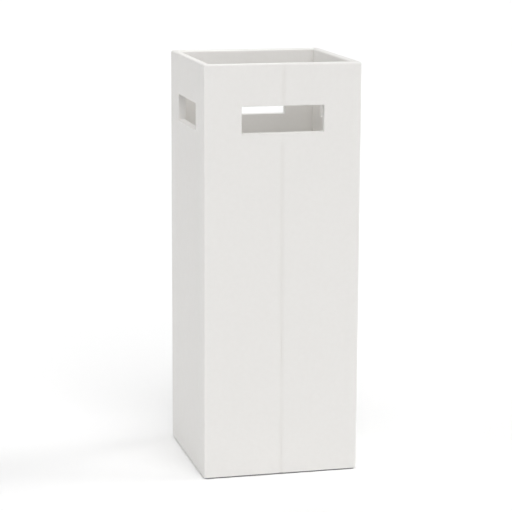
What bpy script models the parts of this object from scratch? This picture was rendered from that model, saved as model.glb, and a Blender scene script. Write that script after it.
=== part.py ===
"""A square umbrella stand: four slotted boards round a base board, wrapped in white leather.

Metres, +Z up, origin at the middle of the underside, front face towards -Y. The leather cover is two
U-shaped skins that meet at a seam down the middle of the front and of the back. Each skin wraps over
the rim and a little way down inside, and is turned under the foot, where a felt sheet covers its edge.
"""

import math

import bmesh
import bpy
from mathutils import Matrix, Vector

# Driving dimensions.
WIDTH = 0.210  # outside, both ways
HEIGHT = 0.550
SLOT_WIDTH = 0.110
SLOT_HEIGHT = 0.035
SLOT_TOP_BELOW_RIM = 0.055
BOARD = 0.007
BASE_BOARD = 0.012
LEATHER = 0.0012
FELT = 0.0012
GAP = 0.0003  # between any two pieces that touch

# The leather's edges and overlaps.
EDGE_RADIUS = 0.002
FOOT_RADIUS = 0.0008
INSIDE_FLAP = 0.030
UNDER_FLAP = 0.022
FELT_INSET = 0.0015
FELT_CORNER = 0.004
SLOT_CORNER = 0.0008
SLOT_ROLL = 0.0007  # how the trim turns over at each end
ARC_STEPS = 4

# The removable drip tray.
TRAY_CLEARANCE = 0.0015
TRAY_DEPTH = 0.024
TRAY_SHEET = 0.0018
TRAY_LIP = 0.0022
TRAY_CORNER = 0.012
TRAY_DRAFT = 0.002
TRAY_FOOT_RADIUS = 0.003

# The countersunk wood screws that hold the boards to the base board.
SCREW_LENGTH = 0.030
SCREW_RADIUS = 0.00175
SCREW_HEAD_RADIUS = 0.0035
SCREW_HEAD_RIM = 0.0004
SCREW_TIP = 0.005
SCREW_POINT = 0.0003  # the radius of its blunt point
SCREW_SINK = 0.0002
SCREW_SPACING = 0.055  # either side of a board's middle
SCREW_SIDES = 16
RECESS_ARM = 0.0022
RECESS_SLOT = 0.0009
RECESS_DEPTH = 0.0014

# Worked out from the above. A depth is measured inwards from the outer face.
HALF = WIDTH / 2
BOARD_OUT = LEATHER + GAP
BOARD_IN = BOARD_OUT + BOARD
LINING_OUT = BOARD_IN + GAP
WALL = LINING_OUT + LEATHER
SKIN_BOTTOM = FELT + GAP
BOARD_BOTTOM = SKIN_BOTTOM + LEATHER + GAP
BOARD_TOP = HEIGHT - LEATHER - GAP
FLOOR_BOARD_TOP = BOARD_BOTTOM + BASE_BOARD
LINING_BOTTOM = FLOOR_BOARD_TOP + GAP
LINING_TOP = HEIGHT - INSIDE_FLAP - GAP
TRAY_BOTTOM = LINING_BOTTOM + LEATHER + GAP
TRAY_TOP = TRAY_BOTTOM + TRAY_DEPTH
SLOT_MIDDLE = HEIGHT - SLOT_TOP_BELOW_RIM - SLOT_HEIGHT / 2
SLOT_CUT = LEATHER + GAP  # how much further the boards are cut than the open slot
SCREW_HEIGHT = BOARD_BOTTOM + BASE_BOARD / 2
MERGE = 0.000001
QUARTER = math.pi / 2

SIDES = {"front": 0, "right": 1, "back": 2, "left": 3}  # quarter turns about +Z


def clear_scene():
    for old in list(bpy.data.objects):
        bpy.data.objects.remove(old, do_unlink=True)


def make_material(name, colour, roughness, metallic=0.0):
    material = bpy.data.materials.new(name)
    material.use_nodes = True
    shader = material.node_tree.nodes["Principled BSDF"]
    shader.inputs["Base Color"].default_value = (*colour, 1.0)
    shader.inputs["Roughness"].default_value = roughness
    shader.inputs["Metallic"].default_value = metallic
    return material


def finish_mesh(bm, name):
    """A closed mesh with its faces pointing out, from what was built in bm."""
    bmesh.ops.remove_doubles(bm, verts=bm.verts, dist=MERGE)
    bmesh.ops.recalc_face_normals(bm, faces=bm.faces)
    mesh = bpy.data.meshes.new(name)
    bm.to_mesh(mesh)
    bm.free()
    return mesh


def add_object(name, mesh, material=None, turns=0):
    """Puts a mesh in the scene, turned by quarter turns about the stand's middle."""
    piece = bpy.data.objects.new(name, mesh)
    piece.rotation_euler = (0, 0, turns * QUARTER)
    bpy.context.collection.objects.link(piece)
    if material and not mesh.materials:
        mesh.materials.append(material)
    return piece


def box_mesh(name, low, high):
    bm = bmesh.new()
    bmesh.ops.create_cube(bm, size=1)
    for vert in bm.verts:
        for axis in range(3):
            vert.co[axis] = low[axis] if vert.co[axis] < 0 else high[axis]
    return finish_mesh(bm, name)


def as_cutter(piece):
    piece.hide_render = True
    piece.display_type = "WIRE"
    return piece


def cut(piece, *cutters):
    for cutter in cutters:
        modifier = piece.modifiers.new(cutter.name, "BOOLEAN")
        modifier.operation = "DIFFERENCE"
        modifier.solver = "EXACT"
        modifier.object = cutter


def applied_mesh(piece):
    """The mesh a piece shows with its modifiers, and the piece itself is removed."""
    graph = bpy.context.evaluated_depsgraph_get()
    mesh = bpy.data.meshes.new_from_object(piece.evaluated_get(graph))
    bpy.data.objects.remove(piece, do_unlink=True)
    return mesh


def smooth(mesh, degrees=30):
    mesh.shade_smooth()
    mesh.set_sharp_from_angle(angle=math.radians(degrees))


def arc(centre, radius, start, end, steps=ARC_STEPS):
    """Points along an arc, from start to end in quarter turns."""
    points = []
    for step in range(steps + 1):
        angle = (start + (end - start) * step / steps) * QUARTER
        points.append((centre[0] + radius * math.cos(angle), centre[1] + radius * math.sin(angle)))
    return points


def bridge(bm, rings, closed_rings, closed_path):
    """Faces between each ring of vertices and the next."""
    count = len(rings)
    size = len(rings[0])
    for i in range(count if closed_path else count - 1):
        this_ring = rings[i]
        next_ring = rings[(i + 1) % count]
        for j in range(size if closed_rings else size - 1):
            k = (j + 1) % size
            bm.faces.new((this_ring[j], this_ring[k], next_ring[k], next_ring[j]))


def loft_mesh(name, sections):
    """A solid through level rounded squares, each (half width, corner radius, height)."""
    bm = bmesh.new()
    rings = []
    for half, radius, height in sections:
        outline = []
        for corner in range(4):
            turn = Matrix.Rotation(corner * QUARTER, 2)
            for point in arc((half - radius, half - radius), radius, 0, 1):
                x, y = turn @ Vector(point)
                outline.append(bm.verts.new((x, y, height)))
        rings.append(outline)
    bridge(bm, rings, True, False)
    bm.faces.new(rings[0])
    bm.faces.new(rings[-1])
    return finish_mesh(bm, name)


def turned_mesh(name, profile, sides):
    """A solid turned about +Y through (distance along Y, radius) points, closed at both ends."""
    bm = bmesh.new()
    rings = []
    for along, radius in profile:
        ring = []
        for side in range(sides):
            angle = 2 * math.pi * side / sides
            ring.append(bm.verts.new((radius * math.cos(angle), along, radius * math.sin(angle))))
        rings.append(ring)
    bridge(bm, rings, True, False)
    bm.faces.new(rings[0])
    bm.faces.new(rings[-1])
    return finish_mesh(bm, name)


def skin_profile():
    """The leather's section as (depth, height, corner radius), from the foot round over the rim."""
    foot = arc((FOOT_RADIUS, SKIN_BOTTOM + FOOT_RADIUS), FOOT_RADIUS, -1, -2)
    outer_rim = arc((EDGE_RADIUS, HEIGHT - EDGE_RADIUS), EDGE_RADIUS, 2, 1)
    inner_rim = arc((WALL - EDGE_RADIUS, HEIGHT - EDGE_RADIUS), EDGE_RADIUS, 1, 0)
    show_side = [(UNDER_FLAP, SKIN_BOTTOM), *foot, *outer_rim, *inner_rim, (WALL, HEIGHT - INSIDE_FLAP)]
    board_side = [
        (LINING_OUT, HEIGHT - INSIDE_FLAP),
        (LINING_OUT, HEIGHT - LEATHER),
        (LEATHER, HEIGHT - LEATHER),
        (LEATHER, SKIN_BOTTOM + LEATHER),
        (UNDER_FLAP, SKIN_BOTTOM + LEATHER),
    ]
    rounded = [(depth, height, max(EDGE_RADIUS - depth, 0)) for depth, height in show_side]
    return rounded + [(depth, height, 0) for depth, height in board_side]


def skin_mesh(name):
    """Half of the cover, from the front seam round one side to the back seam."""
    profile = skin_profile()
    bm = bmesh.new()
    rings = []

    def add_ring(place):
        rings.append([bm.verts.new((*place(depth, radius), height)) for depth, height, radius in profile])

    def corner(back, angle):
        def place(depth, radius):
            inset = HALF - depth - radius
            x = -inset - radius * math.sin(angle)
            y = -inset - radius * math.cos(angle)
            return (x, -y if back else y)

        return place

    add_ring(lambda depth, radius: (-GAP / 2, depth - HALF))
    for step in range(ARC_STEPS + 1):
        add_ring(corner(False, QUARTER * step / ARC_STEPS))
    for step in range(ARC_STEPS + 1):
        add_ring(corner(True, QUARTER * (1 - step / ARC_STEPS)))
    add_ring(lambda depth, radius: (-GAP / 2, HALF - depth))
    bridge(bm, rings, True, False)
    bm.faces.new(rings[0])
    bm.faces.new(rings[-1])
    return finish_mesh(bm, name)


def slot_trim_mesh():
    """The strip of leather that lines a hand slot, rounded at the outer and the inner face."""
    outer_end = arc((SLOT_ROLL, SLOT_ROLL), SLOT_ROLL, -1, -2)
    inner_end = arc((SLOT_ROLL, WALL - SLOT_ROLL), SLOT_ROLL, 2, 1)
    profile = [(LEATHER, 0), *outer_end, *inner_end, (LEATHER, WALL)]
    bm = bmesh.new()
    rings = []
    for quarter in range(4):
        sign_x = 1 if quarter in (0, 3) else -1
        sign_z = 1 if quarter in (0, 1) else -1
        for step in range(ARC_STEPS + 1):
            angle = (quarter + step / ARC_STEPS) * QUARTER
            ring = []
            for across, along in profile:
                radius = SLOT_CORNER + across
                x = sign_x * (SLOT_WIDTH / 2 - SLOT_CORNER) + radius * math.cos(angle)
                z = sign_z * (SLOT_HEIGHT / 2 - SLOT_CORNER) + radius * math.sin(angle)
                ring.append(bm.verts.new((x, along - HALF, SLOT_MIDDLE + z)))
            rings.append(ring)
    bridge(bm, rings, True, True)
    return finish_mesh(bm, "slot_trim")


def slot_cutters():
    """Two long bars that cut the slots through opposite walls, along Y and along X."""
    reach_x = SLOT_WIDTH / 2 + SLOT_CUT
    reach_z = SLOT_HEIGHT / 2 + SLOT_CUT
    low = (-reach_x, -WIDTH, SLOT_MIDDLE - reach_z)
    high = (reach_x, WIDTH, SLOT_MIDDLE + reach_z)
    bar = box_mesh("slot_bar", low, high)
    along_y = as_cutter(add_object("slot_bar_y", bar))
    along_x = as_cutter(add_object("slot_bar_x", bar, turns=1))
    return along_x, along_y


def screw_profile(clearance):
    """(distance from the head's face, radius) points of a countersunk screw, grown by clearance."""
    head = SCREW_HEAD_RADIUS + clearance
    shank = SCREW_RADIUS + clearance
    rim = SCREW_HEAD_RIM + clearance / 2
    return [
        (-SCREW_SINK - GAP if clearance else 0, head),
        (rim, head),
        (rim + head - shank, shank),
        (SCREW_LENGTH - SCREW_TIP, shank),
        (SCREW_LENGTH + clearance, SCREW_POINT + clearance),
    ]


def screw_places():
    """{name: (quarter turns, offset along the board)} of the eight screws."""
    places = {}
    neighbours = {"front": ("left", "right"), "right": ("front", "back"),
                  "back": ("right", "left"), "left": ("back", "front")}
    for side, turns in SIDES.items():
        for sign, neighbour in zip((-1, 1), neighbours[side]):
            places[f"screw_{side}_{neighbour}"] = (turns, sign * SCREW_SPACING)
    return places


def screw_matrix(turns, offset):
    """From a screw along +Y with its head at the origin, to its place in a board."""
    place = Matrix.Translation((offset, BOARD_OUT + SCREW_SINK - HALF, SCREW_HEIGHT))
    return Matrix.Rotation(turns * QUARTER, 4, "Z") @ place


def screw_cutter():
    """One cutter with the clearance holes of all eight screws."""
    bm = bmesh.new()
    for turns, offset in screw_places().values():
        hole = turned_mesh("screw_hole", screw_profile(GAP), SCREW_SIDES)
        hole.transform(screw_matrix(turns, offset))
        bm.from_mesh(hole)
        bpy.data.meshes.remove(hole)
    return as_cutter(add_object("screw_holes", finish_mesh(bm, "screw_holes")))


def screw_mesh():
    """A countersunk screw with a cross recess in its head."""
    body = add_object("screw_blank", turned_mesh("screw", screw_profile(0), SCREW_SIDES))
    arms = []
    for turns in (0, 1):
        low = (-RECESS_ARM, -RECESS_DEPTH, -RECESS_SLOT / 2)
        high = (RECESS_ARM, RECESS_DEPTH, RECESS_SLOT / 2)
        arm = box_mesh("recess_arm", low, high)
        arm.transform(Matrix.Rotation(turns * QUARTER, 4, "Y"))
        arms.append(as_cutter(add_object(f"recess_arm_{turns}", arm)))
    cut(body, *arms)
    mesh = applied_mesh(body)
    for arm in arms:
        bpy.data.objects.remove(arm, do_unlink=True)
    smooth(mesh)
    return mesh


def board_span(depth):
    """Half of the distance between two opposite surfaces at that depth."""
    return HALF - depth


def add_boards(material, slots, screw_holes):
    """The four boards, the side ones between the front and the back, and the base board inside them."""
    outer = board_span(BOARD_OUT)
    inner = board_span(BOARD_IN)
    for side, turns in SIDES.items():
        reach = outer if side in ("front", "back") else inner - GAP
        low = (-reach, -outer, BOARD_BOTTOM)
        high = (reach, -inner, BOARD_TOP)
        board = add_object(f"wall_{side}", box_mesh(f"wall_{side}", low, high), material, turns)
        cut(board, slots[0] if side in ("left", "right") else slots[1], screw_holes)
    reach = inner - GAP
    base = box_mesh("base_board", (-reach, -reach, BOARD_BOTTOM), (reach, reach, FLOOR_BOARD_TOP))
    cut(add_object("base_board", base, material), screw_holes)


def add_linings(material, slots):
    """The lining's four wall panels and its floor."""
    outer = board_span(LINING_OUT)
    inner = board_span(WALL)
    for side, turns in SIDES.items():
        reach = outer if side in ("front", "back") else inner - GAP
        low = (-reach, -outer, LINING_BOTTOM)
        high = (reach, -inner, LINING_TOP)
        panel = add_object(f"lining_{side}", box_mesh(f"lining_{side}", low, high), material, turns)
        cut(panel, slots[0] if side in ("left", "right") else slots[1])
    reach = inner - GAP
    low = (-reach, -reach, LINING_BOTTOM)
    high = (reach, reach, LINING_BOTTOM + LEATHER)
    add_object("lining_floor", box_mesh("lining_floor", low, high), material)


def add_covers(material, slots):
    """The two halves of the leather cover, which meet at the front and the back seams."""
    for name, turns in (("cover_left", 0), ("cover_right", 2)):
        mesh = skin_mesh(name)
        smooth(mesh)
        cut(add_object(name, mesh, material, turns), *slots)


def add_slot_trims(material):
    mesh = slot_trim_mesh()
    smooth(mesh)
    for side, turns in SIDES.items():
        add_object(f"slot_trim_{side}", mesh, material, turns)


def add_felt(material):
    """The sheet that the stand rests on. Its middle is glued to the base board inside the flaps."""
    edge = HALF - FELT_INSET
    middle = HALF - UNDER_FLAP - GAP
    sections = [
        (edge, FELT_CORNER, 0),
        (edge, FELT_CORNER, FELT),
        (middle, FELT_CORNER, FELT),
        (middle, FELT_CORNER, BOARD_BOTTOM - GAP),
    ]
    add_object("felt_base", loft_mesh("felt_base", sections), material)


def add_tray(material):
    """A moulded tray with sloping sides and a flat lip, which lifts straight out."""
    lip = board_span(WALL) - TRAY_CLEARANCE
    side_top = lip - TRAY_LIP
    side_bottom = side_top - TRAY_DRAFT
    foot = side_bottom - TRAY_FOOT_RADIUS
    corner = TRAY_CORNER - TRAY_LIP
    low_corner = corner - TRAY_DRAFT
    sheet = TRAY_SHEET
    sections = [
        (foot, low_corner - TRAY_FOOT_RADIUS, TRAY_BOTTOM),
        (side_bottom, low_corner, TRAY_BOTTOM + TRAY_FOOT_RADIUS),
        (side_top, corner, TRAY_TOP - sheet),
        (lip, TRAY_CORNER, TRAY_TOP - sheet),
        (lip, TRAY_CORNER, TRAY_TOP),
        (side_top - sheet, corner - sheet, TRAY_TOP),
        (side_bottom - sheet, low_corner - sheet, TRAY_BOTTOM + TRAY_FOOT_RADIUS + sheet / 2),
        (foot - sheet / 2, low_corner - TRAY_FOOT_RADIUS - sheet / 2, TRAY_BOTTOM + sheet),
    ]
    mesh = loft_mesh("drip_tray", sections)
    smooth(mesh)
    add_object("drip_tray", mesh, material)


def add_screws(material):
    mesh = screw_mesh()
    for name, (turns, offset) in screw_places().items():
        screw = add_object(name, mesh, material)
        screw.matrix_world = screw_matrix(turns, offset)


def build():
    clear_scene()
    leather = make_material("white_leather", (0.80, 0.79, 0.77), 0.45)
    lining = make_material("white_lining", (0.76, 0.75, 0.72), 0.55)
    board = make_material("fibreboard", (0.45, 0.32, 0.20), 0.85)
    felt = make_material("grey_felt", (0.10, 0.10, 0.10), 0.95)
    plastic = make_material("tray_plastic", (0.62, 0.62, 0.60), 0.40)
    steel = make_material("zinc_steel", (0.60, 0.60, 0.58), 0.35, 1.0)
    slots = slot_cutters()
    add_boards(board, slots, screw_cutter())
    add_linings(lining, slots)
    add_covers(leather, slots)
    add_slot_trims(leather)
    add_felt(felt)
    add_tray(plastic)
    add_screws(steel)


build()
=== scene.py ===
"""The looks of a square umbrella stand: white leather over board, a felt foot and a lift-out drip tray.

Metres, in the frame's own axes: +Z up, the front face towards -Y. Every size is read from the frame
or is a maker's value named below.
"""

import math

import bmesh
import bpy
from mathutils import Matrix, Vector, noise


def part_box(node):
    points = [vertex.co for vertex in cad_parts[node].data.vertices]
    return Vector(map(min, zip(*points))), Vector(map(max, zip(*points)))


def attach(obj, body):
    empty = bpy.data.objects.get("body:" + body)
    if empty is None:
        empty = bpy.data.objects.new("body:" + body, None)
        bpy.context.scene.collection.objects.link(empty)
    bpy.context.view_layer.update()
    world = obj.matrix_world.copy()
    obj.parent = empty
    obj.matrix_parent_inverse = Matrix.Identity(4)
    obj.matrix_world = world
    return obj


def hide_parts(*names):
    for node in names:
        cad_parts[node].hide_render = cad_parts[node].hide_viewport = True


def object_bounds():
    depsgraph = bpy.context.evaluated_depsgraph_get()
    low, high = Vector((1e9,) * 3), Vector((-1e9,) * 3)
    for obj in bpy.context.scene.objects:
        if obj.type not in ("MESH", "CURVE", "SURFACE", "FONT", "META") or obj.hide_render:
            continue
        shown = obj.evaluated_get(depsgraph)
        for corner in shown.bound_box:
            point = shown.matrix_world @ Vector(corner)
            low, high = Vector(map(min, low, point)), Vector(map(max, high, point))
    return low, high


MM = 0.001
QUARTER = math.pi / 2

# The camera: in front, a little to the left, looking slightly down.
CAMERA_PLACE = (-0.6354, -2.5184, 0.7929)
CAMERA_TURN = -13.960  # degrees about +Z
CAMERA_TILT = 11.227  # degrees below level
CAMERA_ROLL = 0.257
CAMERA_LENS = 136.662  # millimetres
CAMERA_SENSOR = 36.0  # millimetres
CAMERA_REACH = 50  # metres, beyond which nothing shows

# Meshes.
MERGE_DISTANCE = 0.001 * MM
SHORTEST_EDGE = 0.0005 * MM
SHARP = 40  # degrees: an edge that turns by more than this isn't smoothed

# Leather.
EDGE_RADIUS = 2.0 * MM
RIM_RADIUS = 3.0 * MM
FOOT_RADIUS = 0.8 * MM
FOOT_CORNER = 3.4 * MM  # the upright corners grow rounder where the leather is folded under the foot
FOOT_CORNER_RISE = 14 * MM
EDGE_STEPS = 6
RIM_STEPS = 8
PANEL_STEP = 7.0 * MM
FOOT_STEP = 2.0 * MM
UNDER_FLAP = 22 * MM  # how far the leather is turned in under the foot
UNDER_STATIONS = (UNDER_FLAP, 15 * MM, 8 * MM, 4 * MM)  # depths under the foot with a line of points
RIM_SHARES = (0.4, 0.5, 0.6)  # shares of the wall's thickness with a line of points along the rim
FLAP_GAP = 0.3 * MM  # between the turned-in leather and its neighbours
MITRE_DEPTH = 0.25 * MM
MITRE_WIDTH = 0.5 * MM
WAVE_HEIGHT = 0.03 * MM
WAVE_LENGTH = 70 * MM
TRIM_FIT = 0.05 * MM
SLOT_CORNER = 0.8 * MM
SLOT_ROLL = 0.7 * MM
BAR_REACH = 0.2  # half the length of the bars that cut the slots

# The seam where the two skins meet: a shallow valley with a fine crease along its bottom.
SEAM_CLEARANCE = 0.03 * MM
SEAM_LEAN = 1.2 * MM
SEAM_LEAN_REACH = 25 * MM  # how far either side the leather is drawn over with the seam
SEAM_ABOVE = 0.15  # where the seam runs above the slot, as a share of its lean
BACK_LEAN = -0.7  # the back seam's lean as a share of the front one's
# Distances from the join with a line of points, in millimetres.
SEAM_LINES = (0, 0.06, 0.14, 0.24, 0.36, 0.5, 0.65, 0.8, 1.1, 1.5, 2, 2.6, 3.2, 3.8, 4.4, 6, 9, 12)
VALLEY_DEPTH = 0.38 * MM
VALLEY_REACH = 5.2 * MM
CREASE_DEPTH = 0.40 * MM
CREASE_REACH = 0.8 * MM
INSIDE_DEPTHS = (0.1, 0.15)  # valley and crease on the inside of the rim, as shares of their full depths

# How the seam changes up its height: where it fades, goes slack or is drawn tight.
RIM_FADE = 0.85
RIM_FADE_BELOW = 8 * MM
RIM_FADE_REACH = 6 * MM
UNDER_SLOT_GAP = 6 * MM
UNDER_SLOT_REACH = 12 * MM
ABOVE_SLOT_REACH = 3 * MM
SLACK_SHARE = 0.45
SLACK_AT = (110 * MM, 45 * MM)  # its height and how far it reaches up and down
TIGHT_AT = ((180 * MM, 35 * MM), (36 * MM, 22 * MM))
TIGHT_ABOVE_SLOT = 0.5

# Thread in the seam.
STITCH_PITCH = 3.2 * MM
STITCH_THICK = 0.40 * MM
STITCH_SPAN = 1.3 * MM
STITCH_RISE = 0.05 * MM  # the thread's middle above the bottom of the seam
STITCH_SLANT = (0.10, 0.30)  # radians, the least and the most
STITCH_SEED = 7
STITCH_SIDES = 8  # of the sphere that is stretched into a bar of thread
STITCH_RINGS = 6
THREAD_ABOVE_FOOT = 4 * MM
THREAD_BELOW_SLOT = 16 * MM
THREAD_ABOVE_SLOT = 5 * MM
THREAD_BELOW_RIM = 8 * MM

# Lining.
LINING_EDGE = 0.15 * MM
LINING_EDGE_STEPS = 3
LINING_REACH = 0.28 * MM  # how much further the panels between others run, to touch them
PANEL_SHARP = 20  # degrees: the panels' faces stay flat up to their rounded edges

# Felt.
FELT_CORNER = 4 * MM
FELT_ROUND = 0.25 * MM
FELT_STEPS = 3

# Tray.
TRAY_SHEET = 1.8 * MM
TRAY_LIP = 2.2 * MM
TRAY_LIP_STEPS = 4
TRAY_LIP_FILLET = (0.3 * MM, 0.5 * MM)  # its width and height, in the corner under the lip
TRAY_LIP_DROP = 0.1 * MM
TRAY_DRAFT = 2.0 * MM
TRAY_CORNER = 12 * MM
TRAY_LEAST_CORNER = 0.5 * MM
TRAY_FOOT = 3.0 * MM
TRAY_INNER_FOOT = 2.5 * MM
TRAY_SHARP = 60  # degrees
CORNER_STEPS = 8  # round each corner of the felt and the tray

# Lamps: a name, an azimuth, an elevation and a spread in degrees, and a strength.
LAMPS = (
    ("lamp_left", -90, 30, 60, 0.31),
    ("lamp_front", 0, 45, 60, 0.35),
    ("lamp_high_front", 0, 65, 60, 0.25),
    ("lamp_low_front", 0, 20, 40, 0.10),
    ("lamp_right", 90, 20, 40, 0.55),
    ("lamp_back", 180, 45, 60, 0.27),
)
# A small soft box above the opening, which lights the inside.
OVER_LAMP_PLACE = (-0.095, 0, 0.80)
OVER_LAMP_AIM = (0.09, 0, 0.50)
OVER_LAMP_SIDE = 0.15
OVER_LAMP_POWER = 0.21  # watts
FLOOR_HALF = 20.0
FLOOR_HEIGHT = -0.05 * MM

SIDES = {"front": 0, "right": 1, "back": 2, "left": 3}  # quarter turns about +Z


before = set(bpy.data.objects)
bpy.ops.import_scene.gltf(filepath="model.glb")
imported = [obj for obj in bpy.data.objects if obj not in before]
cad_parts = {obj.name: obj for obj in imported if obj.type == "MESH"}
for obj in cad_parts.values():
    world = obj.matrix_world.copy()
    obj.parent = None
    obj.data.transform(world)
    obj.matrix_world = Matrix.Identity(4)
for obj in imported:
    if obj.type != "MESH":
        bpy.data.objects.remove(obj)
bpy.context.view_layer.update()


# ---------------------------------------------------------------- sizes read from the frame

def read_sizes():
    """The stand's driving sizes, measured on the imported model."""
    _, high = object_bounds()
    skin_low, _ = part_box("cover_left")
    trim_low, trim_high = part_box("slot_trim_front")
    lining_low, lining_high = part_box("lining_front")
    return {
        "half": high.x,
        "top": high.z,
        "skin_bottom": skin_low.z,
        "wall": trim_high.y - trim_low.y,
        "leather": lining_high.y - lining_low.y,
        "slot_half_width": trim_high.x,
        "slot_low": trim_low.z,
        "slot_high": trim_high.z,
        "lining_top": lining_high.z,
    }


SIZE = read_sizes()
FLAP_END = SIZE["lining_top"] + FLAP_GAP  # how far down inside the leather comes


# ---------------------------------------------------------------- material helpers

# Painted shade: this attribute darkens the leather's colour in the seam valley, standing in for the shade
# that falls there.
SEAM_SHADE = "seam_shade"  # the cover's own attribute: 1 in the seam, 0 away from it
EVEN = (1, 1, 1)


class Shader:
    """A material's node tree, with one short call per kind of node."""

    def __init__(self, name):
        self.material = bpy.data.materials.new(name)
        self.material.use_nodes = True
        self.tree = self.material.node_tree
        self.surface = self.tree.nodes["Principled BSDF"]

    def node(self, kind, **values):
        made = self.tree.nodes.new(kind)
        for key, value in values.items():
            if key in made.inputs:
                made.inputs[key].default_value = value
            else:
                setattr(made, key, value)
        return made

    def link(self, output, socket):
        self.tree.links.new(output, socket)

    def place(self, scale=EVEN):
        """Object coordinates, stretched by scale."""
        coordinates = self.node("ShaderNodeTexCoord")
        mapping = self.node("ShaderNodeMapping")
        mapping.inputs["Scale"].default_value = scale
        self.link(coordinates.outputs["Object"], mapping.inputs["Vector"])
        return mapping.outputs["Vector"]

    def noise(self, scale, detail=3.0, roughness=0.5, stretch=EVEN):
        made = self.node("ShaderNodeTexNoise", Scale=scale, Detail=detail, Roughness=roughness)
        self.link(self.place(stretch), made.inputs["Vector"])
        return made.outputs["Fac"]

    def cells(self, scale):
        made = self.node("ShaderNodeTexVoronoi", feature="DISTANCE_TO_EDGE", Scale=scale)
        self.link(self.place(), made.inputs["Vector"])
        return made.outputs["Distance"]

    def spread(self, value, low, high, to_low, to_high):
        made = self.node("ShaderNodeMapRange")
        for socket, number in zip(range(1, 5), (low, high, to_low, to_high)):
            made.inputs[socket].default_value = number
        self.link(value, made.inputs[0])
        return made.outputs[0]

    def varied(self, value, low, high):
        """A noise's usual range, 0.3 to 0.7, spread from low to high."""
        return self.spread(value, 0.3, 0.7, low, high)

    def mixed(self, factor, first, second):
        made = self.node("ShaderNodeMix", data_type="RGBA")
        sockets = {socket.identifier: socket for socket in (*made.inputs, *made.outputs)}
        sockets["A_Color"].default_value = (*first, 1)
        sockets["B_Color"].default_value = (*second, 1)
        self.link(factor, sockets["Factor_Float"])
        return sockets["Result_Color"]

    def blended(self, factor, first, second):
        """As mixed, with a colour output for the first."""
        result = self.mixed(factor, (1, 1, 1), second)
        self.link(first, next(s for s in result.node.inputs if s.identifier == "A_Color"))
        return result

    def bump(self, height, depth, below=None):
        made = self.node("ShaderNodeBump", Distance=depth, Strength=1.0)
        self.link(height, made.inputs["Height"])
        if below is not None:
            self.link(below, made.inputs["Normal"])
        return made.outputs["Normal"]

    def finish(self, colour=None, roughness=None, normal=None, **fixed):
        for output, socket in ((colour, "Base Color"), (roughness, "Roughness"), (normal, "Normal")):
            if output is not None:
                self.link(output, self.surface.inputs[socket])
        for key, value in fixed.items():
            self.surface.inputs[key.replace("_", " ")].default_value = value
        return self.material


# ---------------------------------------------------------------- materials

def leather_material(name, light, dark, painted_seam_shade, grain):
    """Smooth coated leather: a fine pebble grain, faint mottling, and painted shade along the seam valley,
    a darker colour mixed in by the seam_shade attribute.
    """
    shader = Shader(name)
    mottling = shader.noise(160, roughness=0.6)
    colour = shader.mixed(shader.varied(mottling, 0, 1), dark, light)
    # Painted shade: where seam_shade is 1, the colour is mixed towards the darker painted_seam_shade
    # colour.
    seam = shader.node("ShaderNodeAttribute", attribute_name=SEAM_SHADE)
    colour = shader.blended(seam.outputs["Fac"], colour, painted_seam_shade)
    sheen = shader.varied(shader.noise(60), 0.44, 0.54)
    pebbles = shader.spread(shader.cells(1 / grain), 0, 0.35, 0, 1)
    softness = shader.noise(0.4 / grain, roughness=0.6)
    pores = shader.spread(shader.noise(2.5 / grain, 2.0), 0.62, 0.75, 1, 0)
    fine = shader.bump(pebbles, 0.018 * MM)
    soft = shader.bump(softness, 0.030 * MM, fine)
    pored = shader.bump(pores, 0.010 * MM, soft)
    return shader.finish(colour, sheen, pored, IOR=1.45)


def fibreboard_material():
    """Raw fibreboard: pale brown, with short flecks of fibre."""
    shader = Shader("raw_fibreboard")
    flecks = shader.noise(900, 4.0, 0.7, stretch=(1, 1, 0.35))
    colour = shader.mixed(shader.varied(flecks, 0, 1), (0.30, 0.19, 0.11), (0.56, 0.40, 0.25))
    matte = shader.varied(shader.noise(250), 0.78, 0.92)
    return shader.finish(colour, matte, shader.bump(flecks, 0.06 * MM))


def felt_material():
    """Pressed wool felt: dark grey tangled fibres, kept this dark so that the felt's edge also paints the
    shadow line under the foot.
    """
    shader = Shader("wool_felt")
    fibres = shader.noise(1600, 5.0, 0.75, stretch=(1, 0.4, 1))
    crossing = shader.noise(1300, 5.0, 0.75, stretch=(0.4, 1, 1))
    # Painted shade: these near-black greys stand in for the dark shadow line under the foot as well as
    # being the felt's own colour.
    colour = shader.mixed(shader.varied(fibres, 0, 1), (0.055, 0.055, 0.055), (0.15, 0.15, 0.15))
    rough = shader.varied(crossing, 0.88, 0.98)
    normal = shader.bump(crossing, 0.15 * MM, shader.bump(fibres, 0.15 * MM))
    return shader.finish(colour, rough, normal, Sheen_Weight=0.4, Sheen_Roughness=0.6)


def plastic_material():
    """Moulded plastic with a fine spark-eroded texture."""
    shader = Shader("moulded_plastic")
    tone = shader.noise(14, 2.0)
    colour = shader.mixed(shader.varied(tone, 0, 1), (0.60, 0.60, 0.585), (0.64, 0.64, 0.625))
    texture = shader.noise(2400, 2.0, 0.6)
    rough = shader.varied(shader.noise(90), 0.36, 0.46)
    return shader.finish(colour, rough, shader.bump(texture, 0.02 * MM), IOR=1.49)


def steel_material():
    """Bright zinc plate with a faint yellow-blue bloom."""
    shader = Shader("zinc_plate")
    bloom = shader.noise(380)
    colour = shader.mixed(shader.spread(bloom, 0.35, 0.65, 0, 1), (0.60, 0.58, 0.50), (0.62, 0.63, 0.66))
    rough = shader.varied(shader.noise(1200), 0.24, 0.38)
    return shader.finish(colour, rough, shader.bump(bloom, 0.01 * MM), Metallic=1.0)


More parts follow.
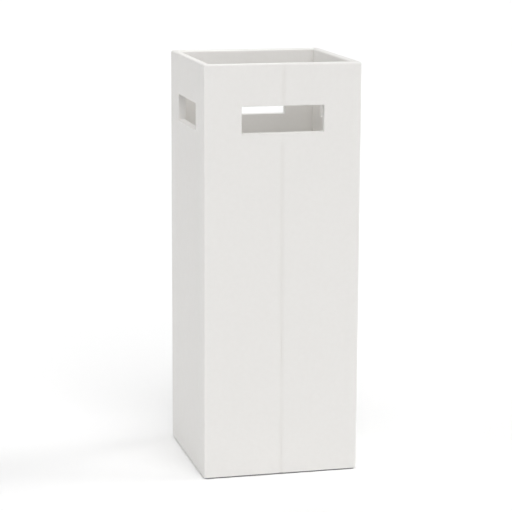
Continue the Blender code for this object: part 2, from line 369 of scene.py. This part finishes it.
def thread_material():
    """White polyester thread, twisted."""
    shader = Shader("white_thread")
    twist = shader.noise(3000, 2.0, stretch=(0.3, 1, 1))
    colour = shader.mixed(twist, (0.66, 0.65, 0.62), (0.84, 0.83, 0.80))
    rough = shader.varied(twist, 0.5, 0.65)
    return shader.finish(colour, rough, shader.bump(twist, 0.05 * MM))


# The painted_seam_shade colours are painted shade for the seam valley. The lining has no seam_shade
# attribute, so its painted_seam_shade colour never shows.
LEATHER = leather_material("leather_finish", light=(0.775, 0.763, 0.744), dark=(0.763, 0.750, 0.730),
                           painted_seam_shade=(0.745, 0.730, 0.708), grain=0.75 * MM)
LINING = leather_material("lining_finish", light=(0.795, 0.780, 0.754), dark=(0.783, 0.767, 0.739),
                          painted_seam_shade=(0.715, 0.698, 0.674), grain=0.55 * MM)
BOARD = fibreboard_material()
FELT = felt_material()
PLASTIC = plastic_material()
STEEL = steel_material()
THREAD = thread_material()


# ---------------------------------------------------------------- mesh helpers

def arc(centre, radius, start, end, steps=EDGE_STEPS):
    """Points along an arc with their outward directions; start and end are in quarter turns."""
    points = []
    for step in range(steps + 1):
        angle = (start + (end - start) * step / steps) * QUARTER
        out = (math.cos(angle), math.sin(angle))
        points.append((centre[0] + radius * out[0], centre[1] + radius * out[1], *out))
    return points


def steps_between(low, high, step):
    """Evenly spaced numbers from low to high, both included, about step apart."""
    count = max(1, round(abs(high - low) / step))
    return [low + (high - low) * i / count for i in range(count + 1)]


def ease(value):
    """0 below 0, 1 above 1, and a smooth rise between."""
    value = min(max(value, 0.0), 1.0)
    return value * value * (3 - 2 * value)


def bridge(bm, rings, closed_path=False):
    """Faces between each closed ring of vertices and the next."""
    count = len(rings)
    size = len(rings[0])
    for i in range(count if closed_path else count - 1):
        here = rings[i]
        there = rings[(i + 1) % count]
        for j in range(size):
            k = (j + 1) % size
            bm.faces.new((here[j], here[k], there[k], there[j]))


def closed_mesh(bm, name):
    """A mesh of the shape, cleaned, with its faces turned outward."""
    bmesh.ops.remove_doubles(bm, verts=bm.verts, dist=MERGE_DISTANCE)
    bmesh.ops.dissolve_degenerate(bm, edges=bm.edges, dist=SHORTEST_EDGE)
    bmesh.ops.recalc_face_normals(bm, faces=bm.faces)
    mesh = bpy.data.meshes.new(name)
    bm.to_mesh(mesh)
    bm.free()
    return mesh


def shade(mesh, sharp):
    """Smooth shading, but for edges that turn by more than sharp degrees."""
    mesh.shade_smooth()
    mesh.set_sharp_from_angle(angle=math.radians(sharp))


def add(name, mesh, material=None, sharp=SHARP):
    """A piece with its place in its mesh, shaded smooth but for its sharp edges."""
    piece = bpy.data.objects.new(name, mesh)
    bpy.context.collection.objects.link(piece)
    if material:
        mesh.materials.clear()
        mesh.materials.append(material)
    shade(mesh, sharp)
    return piece


def settle(piece):
    """Makes the piece a plain mesh, as its modifiers show it."""
    graph = bpy.context.evaluated_depsgraph_get()
    mesh = bpy.data.meshes.new_from_object(piece.evaluated_get(graph))
    piece.modifiers.clear()
    old = piece.data
    piece.data = mesh
    mesh.name = piece.name
    bpy.data.meshes.remove(old)


def cut(piece, *cutters, sharp=SHARP):
    """Takes the cutters out of the piece, and shades what is left."""
    for cutter in cutters:
        modifier = piece.modifiers.new(cutter.name, "BOOLEAN")
        modifier.operation = "DIFFERENCE"
        modifier.solver = "EXACT"
        modifier.object = cutter
    settle(piece)
    shade(piece.data, sharp)


def discard(*pieces):
    for piece in pieces:
        mesh = piece.data
        bpy.data.objects.remove(piece, do_unlink=True)
        bpy.data.meshes.remove(mesh)


def turned(mesh, quarter_turns):
    mesh.transform(Matrix.Rotation(quarter_turns * QUARTER, 4, "Z"))
    return mesh


def place_on_stand(piece, node):
    """The piece rides on the stand, in place of the node."""
    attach(piece, "stand")
    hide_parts(node)


# ---------------------------------------------------------------- leather cover

def show_side():
    """The leather's visible side as (depth, height, outward depth, outward height)."""
    low = SIZE["skin_bottom"]
    top = SIZE["top"]
    wall = SIZE["wall"]
    points = [(depth, low, 0, -1) for depth in UNDER_STATIONS]
    points += arc((FOOT_RADIUS, low + FOOT_RADIUS), FOOT_RADIUS, -1, -2)
    heights = steps_between(low + FOOT_RADIUS, low + FOOT_CORNER_RISE, FOOT_STEP)
    heights += steps_between(low + FOOT_CORNER_RISE, top - RIM_RADIUS, PANEL_STEP)[1:]
    points += [(0, height, -1, 0) for height in heights[1:-1]]
    points += arc((RIM_RADIUS, top - RIM_RADIUS), RIM_RADIUS, 2, 1, RIM_STEPS)
    points += [(share * wall, top, 0, 1) for share in RIM_SHARES]
    points += arc((wall - RIM_RADIUS, top - RIM_RADIUS), RIM_RADIUS, 1, 0, RIM_STEPS)
    points += [(wall, height, 1, 0) for height in steps_between(top - RIM_RADIUS, FLAP_END, PANEL_STEP)[1:]]
    return points


def glue_point(depth, height):
    """The point of the leather's hidden side that lies behind a point of its visible side."""
    thick = SIZE["leather"]
    low = SIZE["skin_bottom"] + thick
    raised = min(max(height, low), SIZE["top"] - thick)
    deepest = SIZE["wall"] - thick if raised > low else UNDER_FLAP
    return (min(max(depth, thick), deepest), raised, 0, 0)


def hump(value, middle, reach):
    """1 at the middle, easing to 0 at that reach either side of it."""
    return 1 - ease(abs(value - middle) / reach)


def seam_course(height, on_front):
    """How far the seam strays from the middle along +X: it leans away below the slot, and back above."""
    low = SIZE["skin_bottom"]
    high = SIZE["slot_low"]
    lean = (math.cos(math.pi * min(max((height - low) / (high - low), 0), 1)) - 1) / 2
    above = ease((height - high) / (SIZE["slot_high"] - high))
    course = (1 - above) * lean + SEAM_ABOVE * above
    return SEAM_LEAN * course * (1 if on_front else BACK_LEAN)


def seam_depths(height, inside):
    """How deep the valley and its crease are, as shares of their full depths."""
    if inside:
        return INSIDE_DEPTHS
    rim = 1 - RIM_FADE * ease((height - SIZE["top"] + RIM_FADE_BELOW) / RIM_FADE_REACH)
    under_slot = ease((SIZE["slot_low"] - UNDER_SLOT_GAP - height) / UNDER_SLOT_REACH)
    above_slot = ease((height - SIZE["slot_high"]) / ABOVE_SLOT_REACH)
    pulled = max(under_slot, above_slot)
    slack = 1 - SLACK_SHARE * hump(height, *SLACK_AT)
    tight = max(TIGHT_ABOVE_SLOT * above_slot, *(hump(height, *place) for place in TIGHT_AT))
    return rim * pulled * slack, rim * pulled * tight


def seam_relief(distance, valley, crease):
    """How far the leather sinks at that distance from the join."""
    sink = VALLEY_DEPTH * valley * (1 - ease(distance / VALLEY_REACH))
    return sink + CREASE_DEPTH * crease * (1 - min(distance / CREASE_REACH, 1)) ** 2


def path_stations():
    """Stations along one skin as (stretch, share of the stretch), from the front seam to the back one."""
    reach = SIZE["half"] - EDGE_RADIUS
    half_run = [distance * MM / reach for distance in SEAM_LINES]
    last = 1 - MITRE_WIDTH / reach
    half_run += steps_between(half_run[-1], last, PANEL_STEP / reach)[1:]
    full_run = steps_between(MITRE_WIDTH / reach / 2, 1 - MITRE_WIDTH / reach / 2, PANEL_STEP / reach / 2)
    turn = steps_between(0, 1, 1 / EDGE_STEPS)
    stations = [("front", share) for share in half_run]
    stations += [("front corner", share) for share in turn]
    stations += [("side", share) for share in full_run]
    stations += [("back corner", share) for share in turn]
    stations += [("back", share) for share in reversed(half_run)]
    return stations


def corner_radius(height):
    """The radius of the upright corners outside, which grows towards the foot."""
    rise = (height - SIZE["skin_bottom"]) / FOOT_CORNER_RISE
    return EDGE_RADIUS + (FOOT_CORNER - EDGE_RADIUS) * (1 - ease(rise))


def on_path(stretch, share, depth, full_radius):
    """Plan position of a point at that depth behind the outer face, for the left-hand skin."""
    half = SIZE["half"]
    radius = max(full_radius - depth, 0)
    inset = half - depth - radius
    if stretch in ("front", "back"):
        x = -SEAM_CLEARANCE - share * (inset - SEAM_CLEARANCE)
        y = depth - half
        return (x, y if stretch == "front" else -y)
    if stretch == "side":
        return (depth - half, -inset + 2 * inset * share)
    angle = share * QUARTER if stretch == "front corner" else (1 - share) * QUARTER
    x = -inset - radius * math.sin(angle)
    y = -inset - radius * math.cos(angle)
    return (x, y if stretch == "front corner" else -y)


def skin_point(stretch, share, point, quarter_turns):
    """A point of the skin with its relief, and how much painted shade the seam gives it."""
    depth, height, out_depth, out_height = point
    shown = out_depth or out_height
    radius = corner_radius(height) if shown else EDGE_RADIUS
    x, y = on_path(stretch, share, depth, radius)
    lift = 0.0
    shift = 0.0
    shade = 0.0
    if stretch in ("front", "back"):
        on_front = (stretch == "front") == (quarter_turns == 0)
        near = 1 - ease((-x - VALLEY_REACH) / SEAM_LEAN_REACH)
        shift = near * seam_course(height, on_front) * (1 if quarter_turns == 0 else -1)
        if shown:
            valley, crease = seam_depths(height, depth > SIZE["wall"] / 2)
            distance = -x - SEAM_CLEARANCE
            lift -= seam_relief(distance, valley, crease)
            # Painted shade in the seam valley: strongest at the join, fading out over the valley's reach.
            shade = valley * (1 - ease(distance / VALLEY_REACH))
    elif shown and "corner" in stretch and out_height > 0.5 and depth > EDGE_RADIUS:
        lift -= MITRE_DEPTH
    if shown:
        spot = Vector((x, y, height)) / WAVE_LENGTH
        lift += WAVE_HEIGHT * noise.noise(spot) * (1 - abs(out_height))
        x, y = on_path(stretch, share, depth + out_depth * lift, radius)
    return (x + shift, y, height + out_height * lift), shade


def cover_mesh(name, quarter_turns):
    """One U-shaped skin of leather with its relief: seam, mitred rim corners and a faint unevenness."""
    shown = show_side()
    hidden = [glue_point(depth, height) for depth, height, _, _ in shown]
    profile = shown + hidden[::-1]
    bm = bmesh.new()
    shade_layer = bm.verts.layers.float.new(SEAM_SHADE)
    rings = []
    for stretch, share in path_stations():
        ring = []
        for point in profile:
            place, shade = skin_point(stretch, share, point, quarter_turns)
            vert = bm.verts.new(place)
            vert[shade_layer] = shade
            ring.append(vert)
        rings.append(ring)
    bridge(bm, rings)
    for ring in (rings[0], rings[-1]):
        for i in range(len(shown) - 1):
            bm.faces.new((ring[i], ring[i + 1], ring[-i - 2], ring[-i - 1]))
    return turned(closed_mesh(bm, name), quarter_turns)


# The corners of a slot as (quarter turn, side along X, side along Z).
SLOT_CORNERS = ((0, 1, 1), (1, -1, 1), (2, -1, -1), (3, 1, -1))


def rounded_bar(name, half_width, low, high, radius):
    """A bar along Y with a rounded rectangle for its section."""
    bm = bmesh.new()
    outline = []
    middle = (low + high) / 2
    half_height = (high - low) / 2
    for quarter, sign_x, sign_z in SLOT_CORNERS:
        centre = (sign_x * (half_width - radius), middle + sign_z * (half_height - radius))
        outline += [(x, z) for x, z, _, _ in arc(centre, radius, quarter, quarter + 1)]
    ends = [[bm.verts.new((x, y, z)) for x, z in outline] for y in (-BAR_REACH, BAR_REACH)]
    bridge(bm, ends)
    bm.faces.new(ends[0])
    bm.faces.new(ends[1])
    return closed_mesh(bm, name)


def slot_cutters(fit):
    """Bars that cut the slots: the trims' outline, and fit more all round."""
    radius = SLOT_CORNER + SIZE["leather"] + fit
    half_width = SIZE["slot_half_width"] + fit
    bars = []
    for name, turns in (("slot_bar_y", 0), ("slot_bar_x", 1)):
        mesh = rounded_bar(name, half_width, SIZE["slot_low"] - fit, SIZE["slot_high"] + fit, radius)
        bars.append(add(name, turned(mesh, turns)))
    return bars


def slot_area():
    """What one slot takes out of a sheet."""
    return 2 * SIZE["slot_half_width"] * (SIZE["slot_high"] - SIZE["slot_low"])


def make_covers():
    """The two halves of the leather cover."""
    cutters = slot_cutters(TRIM_FIT)
    for name, turns in (("cover_left", 0), ("cover_right", 2)):
        skin = add(f"leather_{name}", cover_mesh(name, turns), LEATHER)
        cut(skin, *cutters)
        place_on_stand(skin, name)
    discard(*cutters)


# ---------------------------------------------------------------- slot trims

def trim_mesh(name):
    """A strip round the slot: flush with the cover outside and the lining inside, edges rolled over."""
    thick = SIZE["leather"]
    wall = SIZE["wall"]
    outer = [(x, y) for x, y, _, _ in arc((SLOT_ROLL, SLOT_ROLL), SLOT_ROLL, -1, -2)]
    inner = [(x, y) for x, y, _, _ in arc((SLOT_ROLL, wall - SLOT_ROLL), SLOT_ROLL, 2, 1)]
    profile = [(thick, 0), *outer, *inner, (thick, wall)]
    middle = (SIZE["slot_low"] + SIZE["slot_high"]) / 2
    half_width = SIZE["slot_half_width"] - thick - SLOT_CORNER
    half_height = (SIZE["slot_high"] - SIZE["slot_low"]) / 2 - thick - SLOT_CORNER
    bm = bmesh.new()
    rings = []
    for quarter, sign_x, sign_z in SLOT_CORNERS:
        for step in range(EDGE_STEPS + 1):
            angle = (quarter + step / EDGE_STEPS) * QUARTER
            ring = []
            for across, along in profile:
                radius = SLOT_CORNER + across
                x = sign_x * half_width + radius * math.cos(angle)
                z = middle + sign_z * half_height + radius * math.sin(angle)
                ring.append(bm.verts.new((x, along - SIZE["half"], z)))
            rings.append(ring)
    bridge(bm, rings, closed_path=True)
    return closed_mesh(bm, name)


def make_slot_trims():
    for side, turns in SIDES.items():
        node = f"slot_trim_{side}"
        trim = add(f"leather_{node}", turned(trim_mesh(node), turns), LEATHER)
        place_on_stand(trim, node)


# ---------------------------------------------------------------- lining

# The directions in which a panel runs on to touch its neighbours.
LINING_SPREAD = {"left": (0, 1, 0), "right": (0, 1, 0), "floor": (1, 1, 0)}


def panel_mesh(name, low, high, radius):
    """A thin panel with softly rounded edges."""
    bm = bmesh.new()
    bmesh.ops.create_cube(bm, size=1)
    for vert in bm.verts:
        for axis in range(3):
            vert.co[axis] = low[axis] if vert.co[axis] < 0 else high[axis]
    bmesh.ops.bevel(bm, geom=bm.edges[:], offset=radius, segments=LINING_EDGE_STEPS, profile=0.5,
                    affect="EDGES")
    return closed_mesh(bm, name)


def make_linings():
    """The four wall panels, each with its slot cut, and the floor panel."""
    cutters = slot_cutters(TRIM_FIT)
    for side in (*SIDES, "floor"):
        node = f"lining_{side}"
        low, high = (Vector(corner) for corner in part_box(node))
        spread = Vector(LINING_SPREAD.get(side, (0, 0, 0))) * LINING_REACH
        low -= spread
        high += spread
        panel = add(f"leather_{node}", panel_mesh(node, low, high, LINING_EDGE), LINING, sharp=PANEL_SHARP)
        size = sorted(high - low)[1:]
        area = size[0] * size[1]
        if side != "floor":
            cut(panel, cutters[0] if side in ("front", "back") else cutters[1], sharp=PANEL_SHARP)
            area -= slot_area()
        place_on_stand(panel, node)
    discard(*cutters)


# ---------------------------------------------------------------- felt foot and drip tray

def square_ring(bm, half, radius, height):
    """A level rounded square of vertices."""
    ring = []
    for quarter in range(4):
        turn = Matrix.Rotation(quarter * QUARTER, 2)
        for x, y, _, _ in arc((half - radius, half - radius), radius, 0, 1, CORNER_STEPS):
            ring.append(bm.verts.new((*(turn @ Vector((x, y))), height)))
    return ring


def lofted(name, sections):
    """A solid through level rounded squares, each (half width, corner radius, height)."""
    bm = bmesh.new()
    rings = [square_ring(bm, *section) for section in sections]
    bridge(bm, rings)
    bm.faces.new(rings[0])
    bm.faces.new(rings[-1])
    return closed_mesh(bm, name)


def make_felt():
    """The felt sheet: thin under the turned-in leather, and thicker in the middle, up to the base board."""
    low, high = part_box("felt_base")
    edge = high.x
    middle = SIZE["half"] - UNDER_FLAP - FLAP_GAP
    shelf = low.z + SIZE["skin_bottom"] - FLAP_GAP
    edges = arc((FELT_ROUND, low.z + FELT_ROUND), FELT_ROUND, -1, -2, FELT_STEPS)
    edges += arc((FELT_ROUND, shelf - FELT_ROUND), FELT_ROUND, 2, 1, FELT_STEPS)
    sections = [(edge - inset, FELT_CORNER - inset, height) for inset, height, _, _ in edges]
    sections += [(middle, FELT_CORNER, shelf), (middle, FELT_CORNER, high.z)]
    felt = add("felt_sheet", lofted("felt_sheet", sections), FELT)
    place_on_stand(felt, "felt_base")


def tray_sections():
    """The moulded tray's rings: up the outside, over the rolled lip, and down to its floor inside."""
    low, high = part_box("drip_tray")
    lip = high.x
    side_top = lip - TRAY_LIP
    side_low = side_top - TRAY_DRAFT
    lip_low = high.z - TRAY_SHEET
    lip_round = TRAY_SHEET / 2
    floor = low.z + TRAY_SHEET
    fillet_width, fillet_height = TRAY_LIP_FILLET

    places = [(side_low - inset, low.z + rise)
              for inset, rise, _, _ in arc((TRAY_FOOT, TRAY_FOOT), TRAY_FOOT, -1, -2)]
    places.append((side_top, lip_low - TRAY_LIP_DROP - fillet_height))
    places.append((side_top + fillet_width, lip_low - TRAY_LIP_DROP))
    places += [(lip - inset, lip_low + drop)
               for inset, drop, _, _ in arc((lip_round, lip_round), lip_round, -1, -2, TRAY_LIP_STEPS)]
    places += [(lip - inset, high.z + drop)
               for inset, drop, _, _ in arc((lip_round, -lip_round), lip_round, 2, 1, TRAY_LIP_STEPS)]
    places += [(side_top - TRAY_SHEET + lip_round - inset, high.z + drop)
               for inset, drop, _, _ in arc((0, -lip_round), lip_round, 1, 0, TRAY_LIP_STEPS)]
    places += [(side_low - TRAY_SHEET - inset, floor + rise)
               for inset, rise, _, _ in arc((TRAY_INNER_FOOT, TRAY_INNER_FOOT), TRAY_INNER_FOOT, -2, -1)]
    return [(half, max(TRAY_CORNER - (lip - half), TRAY_LEAST_CORNER), height) for half, height in places]


def make_tray():
    tray = add("tray_moulding", lofted("tray_moulding", tray_sections()), PLASTIC, sharp=TRAY_SHARP)
    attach(tray, "drip_tray")
    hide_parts("drip_tray")


# ---------------------------------------------------------------- stitches, made with Geometry Nodes

class Recipe:
    """A Geometry Nodes tree, built node by node and used once to make a plain mesh."""

    def __init__(self, name):
        self.group = bpy.data.node_groups.new(name, "GeometryNodeTree")
        self.socket("Geometry", "NodeSocketGeometry")
        self.socket("Geometry", "NodeSocketGeometry", "OUTPUT")
        self.start = self.group.nodes.new("NodeGroupInput")
        self.end = self.group.nodes.new("NodeGroupOutput")
        self.settings = {}

    def socket(self, name, kind, direction="INPUT"):
        return self.group.interface.new_socket(name, in_out=direction, socket_type=kind)

    def setting(self, name, kind, value):
        """A named input of the tree, and the value it is used with."""
        made = self.socket(name, kind)
        self.settings[made.identifier] = value
        return self.start.outputs[made.identifier]

    def node(self, kind, links=None, **values):
        made = self.group.nodes.new(kind)
        for key, value in values.items():
            setattr(made, key, value)
        for key, source in (links or {}).items():
            target = made.inputs[key]
            if isinstance(source, bpy.types.NodeSocket):
                self.group.links.new(source, target)
            else:
                target.default_value = source
        return made

    def make(self, name, mesh, geometry):
        self.group.links.new(geometry, self.end.inputs[0])
        piece = bpy.data.objects.new(name, mesh)
        bpy.context.collection.objects.link(piece)
        modifier = piece.modifiers.new(name, "NODES")
        modifier.node_group = self.group
        for identifier, value in self.settings.items():
            modifier[identifier] = value
        settle(piece)
        bpy.data.node_groups.remove(self.group)
        return piece


def seam_line(on_front):
    """The bottom of the seam outside, under and over the slot."""
    facing = 1 if on_front else -1
    runs = ((SIZE["skin_bottom"] + THREAD_ABOVE_FOOT, SIZE["slot_low"] - THREAD_BELOW_SLOT),
            (SIZE["slot_high"] + THREAD_ABOVE_SLOT, SIZE["top"] - THREAD_BELOW_RIM))
    lines = []
    for low, high in runs:
        line = []
        for height in steps_between(low, high, PANEL_STEP):
            sink = seam_relief(0, *seam_depths(height, False)) - STITCH_RISE
            line.append((seam_course(height, on_front), (sink - SIZE["half"]) * facing, height))
        lines.append(line)
    return lines


def line_mesh(name, lines):
    """A mesh of bare edges along each line."""
    points = []
    edges = []
    for line in lines:
        edges += [(len(points) + i, len(points) + i + 1) for i in range(len(line) - 1)]
        points += line
    mesh = bpy.data.meshes.new(name)
    mesh.from_pydata(points, edges, [])
    return mesh


def stitch_recipe():
    """Bars of thread at even steps along the edges of a mesh, and the tree's last geometry."""
    recipe = Recipe("seam_stitches")
    pitch = recipe.setting("Pitch", "NodeSocketFloat", STITCH_PITCH)
    span = recipe.setting("Span", "NodeSocketFloat", STITCH_SPAN)
    thick = recipe.setting("Thread", "NodeSocketFloat", STITCH_THICK)
    thread = recipe.setting("Material", "NodeSocketMaterial", THREAD)
    curve = recipe.node("GeometryNodeMeshToCurve", {"Mesh": recipe.start.outputs[0]})
    resample = recipe.node("GeometryNodeResampleCurve", {"Curve": curve.outputs[0], "Length": pitch},
                           mode="LENGTH")
    bar = recipe.node("GeometryNodeMeshUVSphere",
                      {"Segments": STITCH_SIDES, "Rings": STITCH_RINGS, "Radius": 0.5})
    scale = recipe.node("ShaderNodeCombineXYZ", {"X": span, "Y": thick, "Z": thick})
    shaped = recipe.node("GeometryNodeTransform", {"Geometry": bar.outputs[0], "Scale": scale.outputs[0]})
    slant = recipe.node("FunctionNodeRandomValue", data_type="FLOAT_VECTOR")
    for socket, angle in zip(slant.inputs, STITCH_SLANT):
        socket.default_value = (0, angle, 0)
    slant.inputs["Seed"].default_value = STITCH_SEED
    stitches = recipe.node("GeometryNodeInstanceOnPoints", {
        "Points": resample.outputs[0], "Instance": shaped.outputs[0], "Rotation": slant.outputs[0]})
    real = recipe.node("GeometryNodeRealizeInstances", {"Geometry": stitches.outputs[0]})
    painted = recipe.node("GeometryNodeSetMaterial", {"Geometry": real.outputs[0], "Material": thread})
    return recipe, painted.outputs[0]


def make_stitches():
    """Short bars of thread that draw the two skins together, sunk in the seam."""
    for side in ("front", "back"):
        mesh = line_mesh(f"seam_{side}", seam_line(side == "front"))
        recipe, geometry = stitch_recipe()
        piece = recipe.make(f"seam_stitches_{side}", mesh, geometry)
        piece.data.shade_smooth()
        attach(piece, "stand")


# ---------------------------------------------------------------- finish on the plain CAD nodes

def finish_cad_nodes():
    """Raw fibreboard on the boards, and zinc plate on the screws."""
    for name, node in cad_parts.items():
        finish = None
        if name.startswith("wall_") or name == "base_board":
            finish = BOARD
        elif name.startswith("screw_"):
            finish = STEEL
        if finish:
            node.data.materials.clear()
            node.data.materials.append(finish)


# ---------------------------------------------------------------- stage, light and camera

def stage_material():
    """Matt white, a plain backdrop."""
    shader = Shader("stage_white")
    return shader.finish(Base_Color=(0.98, 0.98, 0.98, 1), Roughness=0.95, Specular_IOR_Level=0.0)


def make_stage():
    """A wide matt white floor."""
    bm = bmesh.new()
    bmesh.ops.create_grid(bm, x_segments=1, y_segments=1, size=FLOOR_HALF)
    mesh = bpy.data.meshes.new("floor")
    bm.to_mesh(mesh)
    bm.free()
    mesh.materials.append(stage_material())
    floor = bpy.data.objects.new("floor", mesh)
    floor.location.z = FLOOR_HEIGHT
    bpy.context.collection.objects.link(floor)


def make_lamp(name, azimuth, elevation, spread, strength):
    """A far, wide soft light. Azimuth 0 is straight in front and 90 is to the right."""
    lamp = bpy.data.lights.new(name, "SUN")
    lamp.energy = strength * math.pi
    lamp.angle = math.radians(spread)
    around = math.radians(azimuth)
    up = math.radians(elevation)
    towards = Vector((math.sin(around) * math.cos(up), -math.cos(around) * math.cos(up), math.sin(up)))
    box = bpy.data.objects.new(name, lamp)
    box.rotation_euler = towards.to_track_quat("Z", "Y").to_euler()
    bpy.context.collection.objects.link(box)


def make_soft_box(name, place, aim, side, power):
    """A square lamp that shines from its place towards its aim, and isn't seen itself."""
    lamp = bpy.data.lights.new(name, "AREA")
    lamp.size = side
    lamp.energy = power
    box = bpy.data.objects.new(name, lamp)
    box.location = place
    box.rotation_euler = (Vector(place) - Vector(aim)).to_track_quat("Z", "Y").to_euler()
    box.visible_camera = False
    bpy.context.collection.objects.link(box)


def make_light():
    """A ring of soft lamps. The room itself is white where it shows, and gives no light."""
    world = bpy.data.worlds.new("studio")
    world.use_nodes = True
    tree = world.node_tree
    backdrop = tree.nodes["Background"]
    backdrop.inputs["Color"].default_value = (1, 1, 1, 1)
    seen = tree.nodes.new("ShaderNodeLightPath")
    tree.links.new(seen.outputs["Is Camera Ray"], backdrop.inputs["Strength"])
    bpy.context.scene.world = world
    for lamp in LAMPS:
        make_lamp(*lamp)
    make_soft_box("lamp_over", OVER_LAMP_PLACE, OVER_LAMP_AIM, OVER_LAMP_SIDE, OVER_LAMP_POWER)


def make_camera():
    """The camera, turned about the vertical, then tilted, then rolled."""
    lens = bpy.data.cameras.new("camera")
    lens.lens = CAMERA_LENS
    lens.sensor_width = CAMERA_SENSOR
    lens.clip_end = CAMERA_REACH
    camera = bpy.data.objects.new("camera", lens)
    bpy.context.collection.objects.link(camera)
    turn, tilt, roll = (math.radians(a) for a in (CAMERA_TURN, CAMERA_TILT, CAMERA_ROLL))
    ahead = Vector((-math.sin(turn) * math.cos(tilt), math.cos(turn) * math.cos(tilt), -math.sin(tilt)))
    level = Vector((math.cos(turn), math.sin(turn), 0))
    upright = level.cross(ahead)
    right = math.cos(roll) * level + math.sin(roll) * upright
    up = -math.sin(roll) * level + math.cos(roll) * upright
    axes = Matrix((right, up, -ahead)).transposed().to_4x4()
    camera.matrix_world = Matrix.Translation(CAMERA_PLACE) @ axes
    bpy.context.scene.camera = camera


def build():
    bpy.context.scene.view_settings.view_transform = "Standard"
    make_camera()
    make_covers()
    make_slot_trims()
    make_linings()
    make_felt()
    make_tray()
    make_stitches()
    finish_cad_nodes()
    make_stage()
    make_light()


build()
